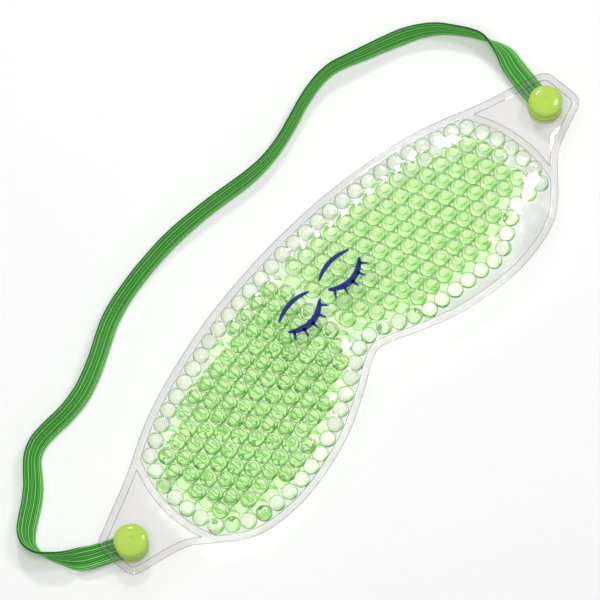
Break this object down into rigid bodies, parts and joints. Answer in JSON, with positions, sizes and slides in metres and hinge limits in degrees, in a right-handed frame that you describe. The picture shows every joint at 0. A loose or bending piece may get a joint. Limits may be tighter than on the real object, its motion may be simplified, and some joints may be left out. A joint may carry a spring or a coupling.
{
  "type": "gel bead eye mask",
  "caption": "Clear welded eye mask pouch filled with gel beads, with a nose notch, a tab and press snap at each end, and a flat elastic head strap.",
  "frame": {"origin": "on the surface the mask lies on, under the middle of the pouch", "axes": "+X along the mask, +Y to its forehead edge, +Z out of its front face"},
  "size_m": [0.2533, 0.1022, 0.0115],
  "materials": {
    "clear_film": "gloss",
    "gel_bead": "translucent gloss",
    "lime_plastic": "gloss",
    "green_elastic": "woven"
  },
  "bodies": {
    "pouch": {"back_film": "clear_film", "front_film": "clear_film", "bead_fill": "gel_bead", "left_front_cap": "lime_plastic", "left_stud": "lime_plastic", "right_front_cap": "lime_plastic", "right_stud": "lime_plastic"},
    "strap_fittings": {"left_socket": "lime_plastic", "left_back_cap": "lime_plastic", "right_socket": "lime_plastic", "right_back_cap": "lime_plastic", "strap_left_end": "green_elastic", "strap_right_end": "green_elastic"},
    "strap": {"strap_loop": "green_elastic"}
  },
  "joints": [
    {"name": "strap_release", "type": "slide", "parent": "pouch", "child": "strap_fittings", "axis": [0, 0, -1], "range_m": [0, 0.008]},
    {"name": "strap_swing", "type": "hinge", "parent": "strap_fittings", "child": "strap", "pos_m": [0.1116, 0.012, 0.0026], "axis": [0.9996, 0.0285, 0], "range_deg": [-115, 75]}
  ]
}
